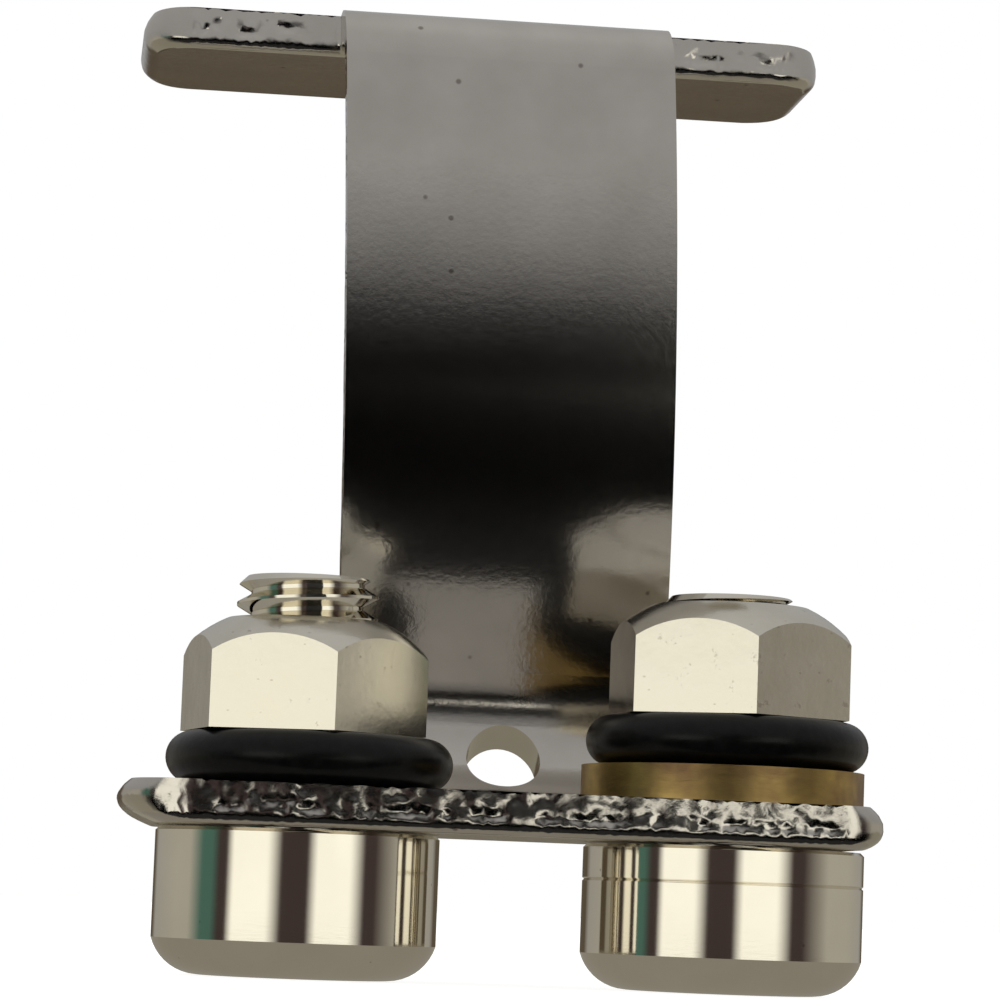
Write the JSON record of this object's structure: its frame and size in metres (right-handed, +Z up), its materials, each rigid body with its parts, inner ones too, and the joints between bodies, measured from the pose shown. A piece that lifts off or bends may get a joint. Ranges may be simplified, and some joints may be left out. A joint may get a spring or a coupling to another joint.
{
  "type": "saxophone ligature",
  "caption": "Bent sheet-metal ligature strap with a flat top plate and a screw bar that carries smooth-headed clamping screws, elastic rings and hex nuts.",
  "frame": {"origin": "middle of the footprint, on the plane of the screw heads' lower faces", "axes": "+X along the two flat bars, towards the screw with the spacer; -Y towards the screw bar's front edge; +Z up along the screws"},
  "size_m": [0.0269, 0.0214, 0.0362],
  "materials": {
    "nickel_sheet": "satin nickel plate, raw sheared edges",
    "polished_nickel": "polished nickel plate",
    "nickel_nut": "nickel plate, slightly matt",
    "black_rubber": "smooth black rubber",
    "aged_brass": "tarnished brass"
  },
  "bodies": {
    "strap": {"strap": "nickel_sheet", "left_elastic_ring": "black_rubber", "right_elastic_ring": "black_rubber", "right_brass_spacer": "aged_brass"},
    "left_screw": {"left_screw": "polished_nickel"},
    "right_screw": {"right_screw": "polished_nickel"},
    "left_nut": {"left_hex_nut": "nickel_nut"},
    "right_nut": {"right_hex_nut": "nickel_nut"}
  },
  "joints": [
    {"name": "left_nut_rise", "type": "slide", "parent": "strap", "child": "left_nut", "axis": [0, 0, 1], "range_m": [0, 0.0024]},
    {"name": "left_screw_turn", "type": "hinge", "parent": "strap", "child": "left_screw", "pos_m": [-0.00677, -0.00544, 0.00515], "axis": [0, 0, -1], "range_deg": [0, 1080.5]},
    {"name": "right_nut_rise", "type": "slide", "parent": "strap", "child": "right_nut", "axis": [0, 0, 1], "range_m": [0, 0.0024]},
    {"name": "right_screw_turn", "type": "hinge", "parent": "strap", "child": "right_screw", "pos_m": [0.00843, -0.00544, 0.00515], "axis": [0, 0, -1], "range_deg": [0, 1080.5]}
  ],
  "couplings": [
    {"joint": "left_screw_turn", "follows": "left_nut_rise", "rad_per_m": 7854},
    {"joint": "right_screw_turn", "follows": "right_nut_rise", "rad_per_m": 7854}
  ]
}
